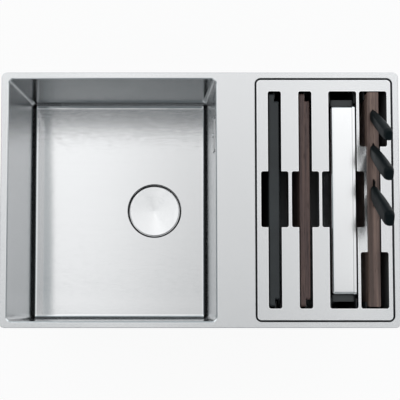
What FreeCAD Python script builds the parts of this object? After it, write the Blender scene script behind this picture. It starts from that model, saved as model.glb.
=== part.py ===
"""Inset kitchen sink in stainless steel: one deep bowl with a basket waste, and beside it a
compartment whose slotted steel panel stores two boards, a colander and a knife block.

Millimetres. The origin is the centre of the deck's outline, in the plane of the worktop that
the rim rests on. +X runs to the right along the deck, +Y to the back and +Z up.
"""
import FreeCAD, Part

import math
import os

V = FreeCAD.Vector
X_AXIS = V(1, 0, 0)
Y_AXIS = V(0, 1, 0)
Z_AXIS = V(0, 0, 1)

# Clearances and cuts
overrun = 4.0  # how far a cutting tool runs past what it cuts
lift_gap = 0.3  # between a piece that lifts out and its seat
guide_gap = 0.4  # each side of a piece that slides in a guide

# Sheet and deck
sheet = 1.0
deck_width = 700.0
deck_depth = 450.0
deck_end_flange = 12.0  # deck in front of and behind the bowl
middle_land = 68.8  # deck between the openings
deck_corner_radius = 9.0
deck_edge_radius = 1.4
rim_height = 3.0  # deck top above the worktop
opening_edge_radius = 0.6

# Foam seal under the rim
seal_inset = 1.6  # from the deck's outline
seal_width = 4.6

# Main bowl
bowl_left_flange = 14.0
bowl_depth = 200.0
bowl_corner_radius = 8.0
bowl_floor_radius = 9.0
bowl_side_draft = 10.8  # how far each side wall leans in, from the deck to the floor
weld_flange = 2.6  # outward flange spot-welded under the deck

# Waste of the main bowl
waste_from_wall = 113.3  # centre of the waste to the top of the bowl's right wall
dish_radius = 53.0
dish_depth = 12.0
dish_lip_radius = 0.7
waste_hole_radius = 45.0
upper_seal_thickness = 1.0
seal_gap = 0.3  # to the dish's wall
lower_seal_thickness = 3.0
lower_seal_width = 8.0
flange_radius = 49.8
flange_sheet = 1.0
cup_radius = 42.0  # outside of the strainer cup
cup_depth = 44.0
cup_slot_count = 6
cup_slot_radius = 7.0
cup_slot_ring = 24.0  # radius of the circle the slots lie on
waste_flange_radius = 55.0
waste_flange_height = 4.0
waste_wall = 3.0
waste_cup_radius = 49.5
waste_cup_depth = 53.0  # below the dish
outlet_radius = 23.9  # thread crest of a 1 1/2 inch outlet
outlet_bore = 20.0
outlet_length = 26.0
waste_rib = 4.0
bridge_width = 8.0
bridge_height = 9.0
bridge_gap = 1.0  # below the strainer cup
clamp_screw_radius = 3.0
clamp_screw_play = 0.05
clamp_head_radius = 7.0
clamp_head_height = 3.5
clamp_slot_width = 1.6

# Basket and cover
basket_rim_radius = 47.0
basket_radius = 39.5
basket_taper = 4.0
basket_depth = 30.0
basket_sheet = 0.8
basket_hole_count = 14
basket_hole_radius = 2.6
basket_hole_ring = 26.0
knob_radius = 9.0
knob_height = 6.0
knob_neck_radius = 3.5
knob_rise = 26.0  # top of the knob above the basket's floor
stopper_radius = 21.0
stopper_height = 6.0
cover_radius = 48.7
cover_sheet = 1.2
cover_recess = 1.5  # below the bowl's floor
cover_lip = 4.0
cover_edge_radius = 1.0
cover_foot_count = 4
cover_foot_radius = 2.4
cover_foot_ring = 43.0

# Overflow in the wall between the two basins
overflow_from_back = 93.0  # to the bowl's back wall
overflow_drop = 40.0  # below the deck's top
overflow_hole_length = 44.0
overflow_hole_height = 15.0
faceplate_length = 62.0
faceplate_height = 27.0
faceplate_thickness = 1.2
faceplate_corner = 5.0
faceplate_slot_width = 5.0
faceplate_slot_height = 11.0
faceplate_slot_pitch = 9.0
faceplate_slots_each_side = 2
overflow_seal_thickness = 1.5
elbow_flange = 3.0
elbow_wall = 2.0
elbow_reach = 24.0
elbow_corner = 4.0
spigot_radius = 11.0
spigot_bore = 9.0
spigot_length = 18.0
overflow_screw_radius = 2.5
overflow_screw_play = 0.05
overflow_screw_head = 4.6
overflow_screw_head_height = 1.6
elbow_boss_radius = 4.6
elbow_boss_length = 9.0
pipe_bend_radius = 45.0
pipe_drop = 33.0  # centre line below the dish's underside
inlet_reach = 20.0  # side inlet beyond the waste's wall

# Compartment
recess_right_flange = 10.7
recess_end_flange = 10.3  # deck in front of and behind the recess
recess_width = 242.5
recess_corner_radius = 10.5
recess_drop = 8.0  # ledge below the deck's top
ledge_width = 6.0
compartment_depth = 195.0
compartment_floor_radius = 12.0

# Waste of the compartment
small_hole_radius = 24.6
small_seal = 1.0
small_flange_radius = 33.0
small_flange_height = 1.6
small_thread_radius = 23.9
small_bore = 20.0
small_thread_length = 24.0
small_tail_radius = 20.0  # plain end for a 40 mm waste pipe
small_tail_bore = 17.6
small_tail_length = 36.0
small_washer = 3.0
small_washer_radius = 33.0
small_nut_across_flats = 58.0
small_nut_height = 9.0
thread_play = 0.2
grid_bar = 3.0
grid_bar_count = 4
grid_bar_height = 4.0

# Sound-deadening pads
pad_thickness = 3.0
floor_pad_width = 190.0
wall_pad_length = 170.0
wall_pad_height = 90.0
pad_corner = 8.0
pad_inset = 12.0  # to the bowl's left wall and to the waste

# Spring clips that grip the cut-out's edge
clip_width = 20.0
clip_strip = 0.8
clip_bulge = 8.0
clip_height = 52.0
clip_drop = 20.0  # top of the clip below the deck's top
clip_foot = 13.0
clip_tip_gap = 1.2
rivet_radius = 2.6
rivet_height = 1.4
side_clip_inset = 93.0  # clips on the side walls, from the bowl's ends
back_clip_inset = 67.0  # clips on the front and back walls, from the bowl's sides

# Rubber gasket on the ledge
gasket_height = 1.0
gasket_gap = 0.3  # to the recess's wall and to the ledge's inner edge

# Steel panel over the compartment
panel_gap = 3.0
panel_sheet = 1.5
panel_corner_radius = 7.5
panel_edge_radius = 0.8
slot_end_land = 20.4  # panel beyond each end of a slot
slot_corner = 4.0
outer_slot_inset = 34.5  # centre line of an outer slot to the recess's wall
inner_slot_share = 0.38  # middle slots from the panel's centre line, of the outer slots' distance
board_slot_width = 23.4
colander_slot_width = 49.4
block_slot_width = 24.0
window_reach = 12.4  # finger window past the slot's edge, each side
window_length = 98.6

# Organizer tub under the panel
tub_clearance = 1.0
tub_wall = 2.0
tub_flange = 2.0
tub_corner_radius = 9.0
tub_depth = 178.0
tub_floor = 2.5
drain_slot_width = 6.0
drain_slot_length = 60.0
drain_slot_rows = 4
drain_slot_columns = 3

# Guide combs in the ends of the tub
comb_back = 2.0
comb_rib = 2.0
comb_drop = 14.0  # top of the comb below the deck's top
board_rib_reach = 24.0
colander_rib_reach = 32.0
block_rib_reach = 26.0

# Boards
board_thickness = 18.4
board_tongue = 9.6  # full-length layer
board_end_gap = 2.5  # to the end of its slot
board_step = 13.0  # rabbet at each end
board_offset = -0.7  # from the slot's centre line
board_corner = 5.0
board_edge = 1.2
board_top = 5.0  # below the deck's top

# Colander
pan_end_gap = 12.3  # from its grips to the end of its slot
pan_depth = 43.4
pan_sheet = 0.8
pan_corner = 6.0
pan_rim = 4.6
pan_rim_proud = 0.9
pan_offset = 1.4
pan_top = 7.0  # below the deck's top
pan_slot_width = 3.0
pan_slot_length = 24.0
pan_slot_rows = 5
pan_slot_columns = 7
pan_slot_row_pitch = 24.0
pan_slot_column_pitch = 40.0
handle_reach = 10.0
handle_plate_drop = 9.0  # top of the grip below the pan's top
handle_grip_height = 96.0
handle_grip_width = 42.0
handle_grip_corner = 4.0
handle_grip_lip = 3.0
handle_rivet_radius = 2.0
handle_rivet_head = 3.6
handle_rivet_head_height = 1.0
handle_rivet_spread = 56.0

# Knife block
block_thickness = 20.0
block_end_gap = 3.3  # to the end of its slot
block_rise = 6.0  # above the deck's top
block_offset = -1.4
block_edge = 1.5
block_foot_height = 3.0
block_foot_radius = 6.0
block_foot_inset = 30.0

# Knives
knife_lean = 26.5  # degrees, handle towards the front
blade_thickness = 2.0
blade_edge_thickness = 0.5
slot_play = 0.6
slot_end_play = 3.0
tang_width = 10.0
tang_length = 46.0
handle_stand_off = 0.5  # handle above the block's top
edge_middle_width_share = 0.62  # where the curved edge passes, of half the blade's width
edge_middle_length_share = 0.72  # and of its length
# Sections of a handle: place along its length, then its back, its belly and its sides beside half
# its height and half its thickness
handle_section_shares = [
    (-0.3, 0.80, 0.78, 0.50),
    (0.12, 0.92, 0.90, 0.80),
    (0.4, 0.98, 1.0, 0.97),
    (0.65, 1.0, 1.05, 1.0),
    (0.92, 0.94, 0.98, 0.95),
    (1.0, 0.70, 0.78, 0.70),
]
handle_edge_share = 0.8  # round edge, of half the thickness

paring_from_back = 41.6  # where the knife crosses the block's top, from its back end
paring_blade_length = 58.0
paring_blade_width = 18.0
paring_handle_length = 130.0
paring_handle_thickness = 16.0
paring_handle_height = 21.0

utility_from_back = 105.0
utility_blade_length = 150.0
utility_blade_width = 25.0
utility_handle_length = 131.0
utility_handle_thickness = 17.5
utility_handle_height = 24.0

chef_from_back = 178.0
chef_blade_length = 180.0
chef_blade_width = 42.0
chef_handle_length = 131.0
chef_handle_thickness = 17.5
chef_handle_height = 27.0

# Levels and edges that several pieces share
deck_top = rim_height
deck_under = deck_top - sheet
recess_right = deck_width / 2 - recess_right_flange
recess_left = recess_right - recess_width
bowl_left = -deck_width / 2 + bowl_left_flange
bowl_right = recess_left - middle_land
bowl_back = deck_depth / 2 - deck_end_flange
bowl_floor = deck_top - bowl_depth
side_slope = bowl_side_draft / (deck_under - bowl_floor)
side_lean = math.degrees(math.atan(side_slope))
dish_floor = bowl_floor - dish_depth
dish_under = dish_floor - sheet
flange_top = dish_floor + upper_seal_thickness + flange_sheet
cup_floor = flange_top - cup_depth
basket_seat = flange_top + basket_sheet
waste_cup_foot = dish_under - waste_cup_depth
waste_x = bowl_right - waste_from_wall
waste_y = 0
overflow_y = bowl_back - overflow_from_back
recess_back = deck_depth / 2 - recess_end_flange
ledge_top = deck_top - recess_drop
compartment_left = recess_left + ledge_width
compartment_right = recess_right - ledge_width
compartment_back = recess_back - ledge_width
compartment_floor = deck_top - compartment_depth
compartment_x = (recess_left + recess_right) / 2
flange_under = ledge_top + gasket_height
flange_face = flange_under + tub_flange
tub_left = compartment_left + tub_clearance
tub_right = compartment_right - tub_clearance
tub_back = compartment_back - tub_clearance
tub_inside = flange_face - tub_depth  # level of the floor that the pieces stand on
comb_face = tub_back - tub_wall - comb_back
outer_slot = recess_width / 2 - outer_slot_inset
inner_slot = outer_slot * inner_slot_share
slot_black = compartment_x - outer_slot
slot_wood = compartment_x - inner_slot
slot_colander = compartment_x + inner_slot
slot_block = compartment_x + outer_slot
slot_length = 2 * (recess_back - panel_gap - slot_end_land)
board_length = slot_length - 2 * board_end_gap
pan_length = slot_length - 2 * (handle_reach + pan_end_gap)
block_length = slot_length - 2 * block_end_gap
paring_station = block_length / 2 - paring_from_back
utility_station = block_length / 2 - utility_from_back
chef_station = block_length / 2 - chef_from_back


# Shapes that several pieces are made from
def rounded_rect(x0, x1, y0, y1, radius, z):
    """A face in the XY plane with round corners."""
    straight = [
        (V(x0 + radius, y0, z), V(x1 - radius, y0, z)),
        (V(x1, y0 + radius, z), V(x1, y1 - radius, z)),
        (V(x1 - radius, y1, z), V(x0 + radius, y1, z)),
        (V(x0, y1 - radius, z), V(x0, y0 + radius, z)),
    ]
    centres = [
        (V(x1 - radius, y0 + radius, z), -math.pi / 4),
        (V(x1 - radius, y1 - radius, z), math.pi / 4),
        (V(x0 + radius, y1 - radius, z), 3 * math.pi / 4),
        (V(x0 + radius, y0 + radius, z), -3 * math.pi / 4),
    ]
    edges = []
    for i, (start, end) in enumerate(straight):
        centre, angle = centres[i]
        middle = centre + V(math.cos(angle), math.sin(angle), 0) * radius
        edges.append(Part.LineSegment(start, end).toShape())
        edges.append(Part.Arc(end, middle, straight[(i + 1) % 4][0]).toShape())
    return Part.Face(Part.Wire(edges))


def rounded_block(x0, x1, y0, y1, radius, z0, z1):
    """An upright block with round corners."""
    return rounded_rect(x0, x1, y0, y1, radius, z0).extrude(V(0, 0, z1 - z0))


def box(x0, x1, y0, y1, z0, z1):
    return Part.makeBox(x1 - x0, y1 - y0, z1 - z0, V(x0, y0, z0))


def cylinder(x, y, z0, z1, radius):
    return Part.makeCylinder(radius, z1 - z0, V(x, y, z0))


def revolved(profile, x, y):
    """A closed outline of (radius, level) pairs, turned about the upright axis at x, y."""
    points = [V(x + r, y, z) for r, z in profile]
    face = Part.Face(Part.makePolygon(points + points[:1]))
    return face.revolve(V(x, y, 0), Z_AXIS, 360)


def edges_at(shape, level):
    """The edges that lie wholly in the horizontal plane at a level."""
    slack = sheet / 1000
    found = []
    for edge in shape.Edges:
        bounds = edge.BoundBox
        if abs(bounds.ZMin - level) < slack and abs(bounds.ZMax - level) < slack:
            found.append(edge)
    return found


def basin(x0, x1, y0, y1, corner, floor_radius, floor, top):
    """A block with round upright corners and a round lower edge."""
    block = rounded_block(x0, x1, y0, y1, corner, floor, top)
    return block.makeFillet(floor_radius, edges_at(block, floor))


def ring_of(tool, count, x, y):
    """Copies of a tool, evenly spaced about the upright axis at x, y."""
    copies = []
    for i in range(count):
        copy = tool.copy()
        copy.rotate(V(x, y, 0), Z_AXIS, 360.0 * i / count)
        copies.append(copy)
    return copies


def spread(count, pitch):
    """Places centred on zero."""
    return [(i - (count - 1) / 2) * pitch for i in range(count)]


def obround(length, width, depth):
    """A slot cutter along Y with round ends, centred on the origin and standing on z 0."""
    half = length / 2 - width / 2
    body = box(-width / 2, width / 2, -half, half, 0, depth)
    ends = [cylinder(0, y, 0, depth, width / 2) for y in (-half, half)]
    return body.fuse(ends).removeSplitter()


def placed(shape, x, y, z):
    copy = shape.copy()
    copy.translate(V(x, y, z))
    return copy


# Sink body
def deck_plate():
    half_width = deck_width / 2
    half_depth = deck_depth / 2
    blank = rounded_block(
        -half_width, half_width, -half_depth, half_depth, deck_corner_radius, 0, deck_top
    )
    blank = blank.makeFillet(deck_edge_radius, edges_at(blank, deck_top))
    hollow = rounded_block(
        -half_width + sheet,
        half_width - sheet,
        -half_depth + sheet,
        half_depth - sheet,
        deck_corner_radius - sheet,
        -overrun,
        deck_under,
    )
    bowl_cut = rounded_block(
        bowl_left, bowl_right, -bowl_back, bowl_back, bowl_corner_radius, -overrun, deck_top + overrun
    )
    recess_cut = rounded_block(
        recess_left,
        recess_right,
        -recess_back,
        recess_back,
        recess_corner_radius,
        -overrun,
        deck_top + overrun,
    )
    plate = blank.cut([hollow, bowl_cut, recess_cut])
    outline = half_width - deck_edge_radius - sheet
    lips = [
        e
        for e in edges_at(plate, deck_top)
        if e.BoundBox.XMax < outline and e.BoundBox.XMin > -outline and on_opening(e)
    ]
    return plate.makeFillet(opening_edge_radius, lips)


def on_opening(edge):
    """Whether an edge of the deck's top lies on one of its two openings."""
    middle = edge.CenterOfMass
    in_y = abs(middle.y) < bowl_back + sheet
    in_x = bowl_left - sheet < middle.x < recess_right + sheet
    return in_x and in_y


def rim_seal():
    def ring(inset):
        return (
            -deck_width / 2 + inset,
            deck_width / 2 - inset,
            -deck_depth / 2 + inset,
            deck_depth / 2 - inset,
            deck_corner_radius - inset,
        )

    inner = seal_inset + seal_width
    x0, x1, y0, y1, _ = ring(inner)
    hole = rounded_block(x0, x1, y0, y1, deck_corner_radius - seal_inset, -overrun, deck_top)
    return rounded_block(*ring(seal_inset), 0, deck_under).cut(hole)


def flanged(shell, x0, x1, y0, y1, corner):
    """Adds the flange that is welded under the deck round an opening."""

    def block(grow, low, high):
        return rounded_block(x0 - grow, x1 + grow, y0 - grow, y1 + grow, corner + grow, low, high)

    plate = block(sheet + weld_flange, deck_under - sheet, deck_under)
    hole = block(sheet / 2, deck_under - overrun, deck_under + overrun)
    return shell.fuse(plate.cut(hole)).removeSplitter()


def drafted_basin(grow, top):
    """The bowl's space, grown all round: the front and back are upright, the sides lean in."""
    floor = bowl_floor - grow
    left = bowl_left - grow
    right = bowl_right + grow
    front = -bowl_back - grow
    above = side_slope * (top - deck_under)
    below = side_slope * (deck_under - floor)
    outline = [
        V(left - above, front, top),
        V(right + above, front, top),
        V(right - below, front, floor),
        V(left + below, front, floor),
    ]
    block = Part.Face(Part.makePolygon(outline + outline[:1])).extrude(V(0, -2 * front, 0))
    upright = [e for e in block.Edges if e.BoundBox.ZLength > bowl_depth / 2]
    block = block.makeFillet(bowl_corner_radius + grow, upright)
    return block.makeFillet(bowl_floor_radius + grow, edges_at(block, floor))


def main_bowl():
    shell = drafted_basin(sheet, deck_under).cut(drafted_basin(0, deck_under + overrun))
    shell = flanged(shell, bowl_left, bowl_right, -bowl_back, bowl_back, bowl_corner_radius)
    shell = shell.cut(
        cylinder(waste_x, waste_y, bowl_floor - overrun, bowl_floor + overrun, dish_radius)
    )
    dish = revolved(
        [
            (waste_hole_radius, dish_under),
            (dish_radius + sheet, dish_under),
            (dish_radius + sheet, bowl_floor),
            (dish_radius, bowl_floor),
            (dish_radius, dish_floor),
            (waste_hole_radius, dish_floor),
        ],
        waste_x,
        waste_y,
    )
    shell = shell.fuse(dish).removeSplitter()
    lip = [
        e
        for e in edges_at(shell, bowl_floor)
        if abs(e.BoundBox.XLength - 2 * dish_radius) < sheet and e.BoundBox.YLength < 3 * dish_radius
    ]
    shell = shell.makeFillet(dish_lip_radius, lip)
    return shell.cut(on_right_wall(overflow_opening()))


def on_right_wall(shape):
    """Turns a shape that is drawn on an upright wall to the lean of the bowl's right wall."""
    copy = shape.copy()
    copy.rotate(V(bowl_right, 0, deck_under), Y_AXIS, side_lean)
    return copy


def overflow_opening():
    """A slot along Y through the bowl's right wall, for the overflow, before it is leant."""
    slot = obround(overflow_hole_length, overflow_hole_height, sheet + 2 * overrun)
    slot.rotate(V(0, 0, 0), Y_AXIS, 90)
    return placed(slot, bowl_right - overrun, overflow_y, deck_top - overflow_drop)


def accessory_bowl():
    upper = (recess_left, recess_right, -recess_back, recess_back, recess_corner_radius)
    lower = (compartment_left, compartment_right, -compartment_back, compartment_back)
    corner = recess_corner_radius
    inside = basin(*lower, corner, compartment_floor_radius, compartment_floor, ledge_top + sheet)
    inside = inside.fuse(rounded_block(*upper, ledge_top, deck_under + overrun))
    x0, x1, y0, y1 = lower
    outside = basin(
        x0 - sheet,
        x1 + sheet,
        y0 - sheet,
        y1 + sheet,
        corner + sheet,
        compartment_floor_radius + sheet,
        compartment_floor - sheet,
        ledge_top,
    )
    x0, x1, y0, y1, _ = upper
    outside = outside.fuse(
        rounded_block(
            x0 - sheet, x1 + sheet, y0 - sheet, y1 + sheet, corner + sheet, ledge_top - sheet, deck_under
        )
    )
    shell = flanged(outside.cut(inside), *upper)
    hole = cylinder(
        compartment_x, 0, compartment_floor - overrun, compartment_floor + overrun, small_hole_radius
    )
    return shell.cut(hole).removeSplitter()


def sound_pads():
    """Pads glued under the bowl's floor and to three of its walls."""
    x0 = bowl_left + bowl_side_draft + pad_inset
    under = bowl_floor - sheet
    half = floor_pad_width / 2
    x1 = waste_x - waste_flange_radius - pad_inset
    pads = [rounded_block(x0, x1, -half, half, pad_corner, under - pad_thickness, under)]
    wall_pad = rounded_block(
        -wall_pad_length / 2,
        wall_pad_length / 2,
        -wall_pad_height / 2,
        wall_pad_height / 2,
        pad_corner,
        0,
        pad_thickness,
    )
    level = (bowl_floor + bowl_floor_radius + deck_top - clip_drop - clip_height) / 2
    bowl_x = (bowl_left + bowl_right) / 2
    back = wall_pad.copy()
    back.rotate(V(0, 0, 0), X_AXIS, -90)
    pads.append(placed(back, bowl_x, bowl_back + sheet, level))
    front = wall_pad.copy()
    front.rotate(V(0, 0, 0), X_AXIS, 90)
    pads.append(placed(front, bowl_x, -bowl_back - sheet, level))
    left = wall_pad.copy()
    left.rotate(V(0, 0, 0), X_AXIS, 90)
    left.rotate(V(0, 0, 0), Z_AXIS, -90)
    left.translate(V(bowl_left - sheet, 0, level))
    left.rotate(V(bowl_left - sheet, 0, deck_under), Y_AXIS, -side_lean)
    pads.append(left)
    return Part.makeCompound(pads)


def clip_places():
    """Where each spring clip stands: a point on the outer wall, the way it faces and its lean."""
    places = []
    side = bowl_back - side_clip_inset
    for y in (-side, side):
        places.append((bowl_left - sheet, y, 180, side_lean))
        places.append((compartment_right + sheet, y, 0, 0))
    for x in (bowl_left + back_clip_inset, bowl_right - back_clip_inset):
        places.append((x, bowl_back + sheet, 90, 0))
        places.append((x, -bowl_back - sheet, -90, 0))
    places.append((compartment_x, compartment_back + sheet, 90, 0))
    places.append((compartment_x, -compartment_back - sheet, -90, 0))
    return places


def clip_strip_solid():
    """One leaf: a flat foot on the wall, then a bulge that springs outwards. It faces +X."""
    top = deck_top - clip_drop
    bottom = top - clip_height
    knee = bottom + clip_foot
    crest = (knee + top) / 2
    line = [(0, bottom), (0, knee), (clip_bulge - clip_strip, crest), (clip_tip_gap, top)]
    outer = [V(n, -clip_width / 2, z) for n, z in line]
    inner = [V(n + clip_strip, -clip_width / 2, z) for n, z in reversed(line)]
    outline = Part.makePolygon(outer + inner + outer[:1])
    return Part.Face(outline).extrude(V(0, clip_width, 0))


def at_clips(solid):
    copies = []
    for x, y, facing, lean in clip_places():
        copy = solid.copy()
        copy.rotate(V(0, 0, deck_under), Y_AXIS, lean)
        copy.rotate(V(0, 0, 0), Z_AXIS, facing)
        copy.translate(V(x, y, 0))
        copies.append(copy)
    return Part.makeCompound(copies)


def spring_clips():
    return at_clips(clip_strip_solid())


def clip_rivets():
    level = deck_top - clip_drop - clip_height + clip_foot / 2
    head = Part.makeCylinder(rivet_radius, rivet_height, V(clip_strip, 0, level), X_AXIS)
    return at_clips(head)


def ledge_gasket():
    """A black rubber ring that the organizer's flange rests on."""
    outer = (recess_left, recess_right, recess_back)
    inner = (compartment_left, compartment_right, compartment_back)

    def block(edges, inset, low, high):
        left, right, back = edges
        corner = recess_corner_radius - inset
        return rounded_block(
            left + inset, right - inset, -back + inset, back - inset, corner, low, high
        )

    ring = block(outer, gasket_gap, ledge_top, flange_under)
    return ring.cut(block(inner, -gasket_gap, ledge_top - overrun, flange_under + overrun))


# Waste of the main bowl
def strainer_upper_seal():
    return revolved(
        [
            (waste_hole_radius, dish_floor),
            (dish_radius - seal_gap, dish_floor),
            (dish_radius - seal_gap, dish_floor + upper_seal_thickness),
            (waste_hole_radius, dish_floor + upper_seal_thickness),
        ],
        waste_x,
        waste_y,
    )


def strainer_flange():
    """The steel cup whose flange lies in the bowl's dish."""
    under = dish_floor + upper_seal_thickness
    inside = cup_radius - flange_sheet
    cup = revolved(
        [
            (clamp_screw_radius + clamp_screw_play, cup_floor),
            (cup_radius, cup_floor),
            (cup_radius, under),
            (flange_radius, under),
            (flange_radius, flange_top),
            (inside, flange_top),
            (inside, cup_floor + flange_sheet),
            (clamp_screw_radius + clamp_screw_play, cup_floor + flange_sheet),
        ],
        waste_x,
        waste_y,
    )
    hole = cylinder(
        waste_x + cup_slot_ring, waste_y, cup_floor - overrun, cup_floor + overrun, cup_slot_radius
    )
    return cup.cut(ring_of(hole, cup_slot_count, waste_x, waste_y))


def strainer_lower_seal():
    return revolved(
        [
            (waste_hole_radius + sheet, dish_under - lower_seal_thickness),
            (waste_hole_radius + lower_seal_width, dish_under - lower_seal_thickness),
            (waste_hole_radius + lower_seal_width, dish_under),
            (waste_hole_radius + sheet, dish_under),
        ],
        waste_x,
        waste_y,
    )


def inlet_heading():
    """The direction, in degrees, from the waste to the bend of the overflow pipe."""
    corner = pipe_corner()
    return math.degrees(math.atan2(corner.y - waste_y, corner.x - waste_x))


def inlet_level():
    return dish_under - pipe_drop


def waste_body():
    """The moulded cup under the bowl, with its side inlet and clamping bridge."""
    top = dish_under - lower_seal_thickness
    inside = waste_cup_radius - waste_wall
    body = revolved(
        [
            (inside, waste_cup_foot),
            (waste_cup_radius, waste_cup_foot),
            (waste_cup_radius, top - waste_flange_height),
            (waste_flange_radius, top - waste_flange_height),
            (waste_flange_radius, top),
            (inside, top),
        ],
        waste_x,
        waste_y,
    )
    bridge_top = cup_floor - bridge_gap
    bridge = box(
        waste_x - inside - waste_wall / 2,
        waste_x + inside + waste_wall / 2,
        waste_y - bridge_width / 2,
        waste_y + bridge_width / 2,
        bridge_top - bridge_height,
        bridge_top,
    )
    boss = cylinder(
        waste_x, waste_y, bridge_top - bridge_height, bridge_top, clamp_head_radius + waste_rib / 2
    )
    inlet = Part.makeCylinder(
        spigot_radius, inlet_reach + waste_wall, V(inside, 0, inlet_level()), X_AXIS
    )
    inlet_bore = Part.makeCylinder(
        spigot_bore, inlet_reach + waste_wall + 2 * overrun, V(inside - overrun, 0, inlet_level()), X_AXIS
    )
    for tool in (inlet, inlet_bore):
        tool.rotate(V(0, 0, 0), Z_AXIS, inlet_heading())
        tool.translate(V(waste_x, waste_y, 0))
    ream = cylinder(waste_x, waste_y, waste_cup_foot, top, inside)
    body = body.fuse(inlet.cut(ream)).fuse([bridge, boss])
    thread = cylinder(
        waste_x,
        waste_y,
        bridge_top - bridge_height - overrun,
        bridge_top + overrun,
        clamp_screw_radius + clamp_screw_play,
    )
    return body.cut([inlet_bore, thread]).removeSplitter()


def waste_outlet():
    """The coned cap welded under the cup, with the threaded outlet."""
    floor = waste_cup_foot - waste_wall
    foot = floor - outlet_length
    return revolved(
        [
            (outlet_bore, foot),
            (outlet_radius, foot),
            (outlet_radius, floor - waste_wall),
            (waste_cup_radius, floor),
            (waste_cup_radius, waste_cup_foot),
            (waste_cup_radius - waste_wall, waste_cup_foot),
            (outlet_bore, floor),
        ],
        waste_x,
        waste_y,
    )


def waste_clamp_screw():
    """The screw that draws the moulded cup up against the dish."""
    seat = cup_floor + flange_sheet
    tip = cup_floor - bridge_gap - bridge_height
    shank = cylinder(waste_x, waste_y, tip, seat, clamp_screw_radius)
    head = cylinder(waste_x, waste_y, seat, seat + clamp_head_height, clamp_head_radius)
    slot = box(
        waste_x - clamp_head_radius - overrun,
        waste_x + clamp_head_radius + overrun,
        waste_y - clamp_slot_width / 2,
        waste_y + clamp_slot_width / 2,
        seat + clamp_head_height / 2,
        seat + clamp_head_height + overrun,
    )
    return shank.fuse(head).cut(slot).removeSplitter()


def strainer_basket():
    """The lift-out basket, hung by its rim on the strainer's flange."""
    floor = flange_top - basket_depth
    foot = basket_radius - basket_taper
    shell = revolved(
        [
            (0, floor),
            (foot, floor),
            (basket_radius, flange_top),
            (basket_rim_radius, flange_top),
            (basket_rim_radius, basket_seat),
            (basket_radius - basket_sheet, basket_seat),
            (foot - basket_sheet, floor + basket_sheet),
            (0, floor + basket_sheet),
        ],
        waste_x,
        waste_y,
    )
    hole = cylinder(
        waste_x + basket_hole_ring, waste_y, floor - overrun, floor + overrun, basket_hole_radius
    )
    return shell.cut(ring_of(hole, basket_hole_count, waste_x, waste_y))


def basket_knob():
    """The stem and knob that a finger lifts the basket by."""
    floor = flange_top - basket_depth + basket_sheet
    top = floor + knob_rise
    return revolved(
        [
            (0, floor),
            (knob_radius, floor),
            (knob_neck_radius, floor + knob_height),
            (knob_neck_radius, top - knob_height),
            (knob_radius, top - knob_height / 2),
            (knob_radius, top),
            (0, top),
        ],
        waste_x,
        waste_y,
    )


def basket_stopper():
    """The rubber disc under the basket."""
    top = flange_top - basket_depth
    return revolved(
        [
            (0, top - stopper_height),
            (stopper_radius - stopper_height / 2, top - stopper_height),
            (stopper_radius, top - stopper_height / 2),
            (stopper_radius, top),
            (0, top),
        ],
        waste_x,
        waste_y,
    )


def drain_cover():
    """The flat disc over the waste, on four short feet."""
    top = bowl_floor - cover_recess
    under = top - cover_sheet
    disc = revolved(
        [
            (0, under),
            (cover_radius - cover_sheet, under),
            (cover_radius - cover_sheet, top - cover_lip),
            (cover_radius, top - cover_lip),
            (cover_radius, top),
            (0, top),
        ],
        waste_x,
        waste_y,
    )
    rim = [e for e in edges_at(disc, top) if abs(e.BoundBox.XLength - 2 * cover_radius) < cover_sheet]
    disc = disc.makeFillet(cover_edge_radius, rim)
    foot = cylinder(waste_x + cover_foot_ring, waste_y, basket_seat, under, cover_foot_radius)
    return disc.fuse(ring_of(foot, cover_foot_count, waste_x, waste_y)).removeSplitter()


# Overflow
def spigot_x():
    """The axis of the overflow's outlet, before it is leant."""
    return bowl_right + sheet + overflow_seal_thickness + elbow_flange + elbow_reach / 2


def spigot_foot():
    """The middle of the outlet's lower end."""
    level = deck_top - overflow_drop - overflow_hole_height / 2 - elbow_wall - spigot_length
    return on_right_wall(Part.Vertex(V(spigot_x(), overflow_y, level))).Point


def pipe_corner():
    """Where the outlet's leaning axis meets the level of the waste's side inlet."""
    foot = spigot_foot()
    drop = foot.z - inlet_level()
    return V(foot.x - side_slope * drop, foot.y, inlet_level())


def wall_plate(length, height, corner, thickness, x):
    """A plate with round corners, upright in the YZ plane, whose left face is at x."""
    plate = rounded_block(-height / 2, height / 2, -length / 2, length / 2, corner, 0, thickness)
    plate.rotate(V(0, 0, 0), Y_AXIS, 90)
    return placed(plate, x, overflow_y, deck_top - overflow_drop)


def overflow_rod(x0, x1, radius):
    """A cylinder along X through the middle of the overflow."""
    return Part.makeCylinder(radius, x1 - x0, V(x0, overflow_y, deck_top - overflow_drop), X_AXIS)


def overflow_faceplate():
    x = bowl_right - faceplate_thickness
    plate = wall_plate(faceplate_length, faceplate_height, faceplate_corner, faceplate_thickness, x)
    slot = obround(faceplate_slot_height, faceplate_slot_width, faceplate_thickness + 2 * overrun)
    slot.rotate(V(0, 0, 0), X_AXIS, 90)
    slot.rotate(V(0, 0, 0), Z_AXIS, 90)
    half = faceplate_length / 2 - faceplate_corner
    cuts = [overflow_rod(x - overrun, x + overrun, overflow_screw_radius + overflow_screw_play)]
    for i in range(faceplate_slots_each_side):
        for side in (-1, 1):
            y = overflow_y + side * (half - faceplate_slot_width - i * faceplate_slot_pitch)
            cuts.append(placed(slot, x - overrun, y, deck_top - overflow_drop))
    return on_right_wall(plate.cut(cuts))


def overflow_screw():
    face = bowl_right - faceplate_thickness
    head = overflow_rod(face - overflow_screw_head_height, face, overflow_screw_head)
    end = bowl_right + sheet + overflow_seal_thickness + elbow_flange + elbow_reach - elbow_wall
    return on_right_wall(head.fuse(overflow_rod(face, end, overflow_screw_radius)).removeSplitter())


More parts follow.
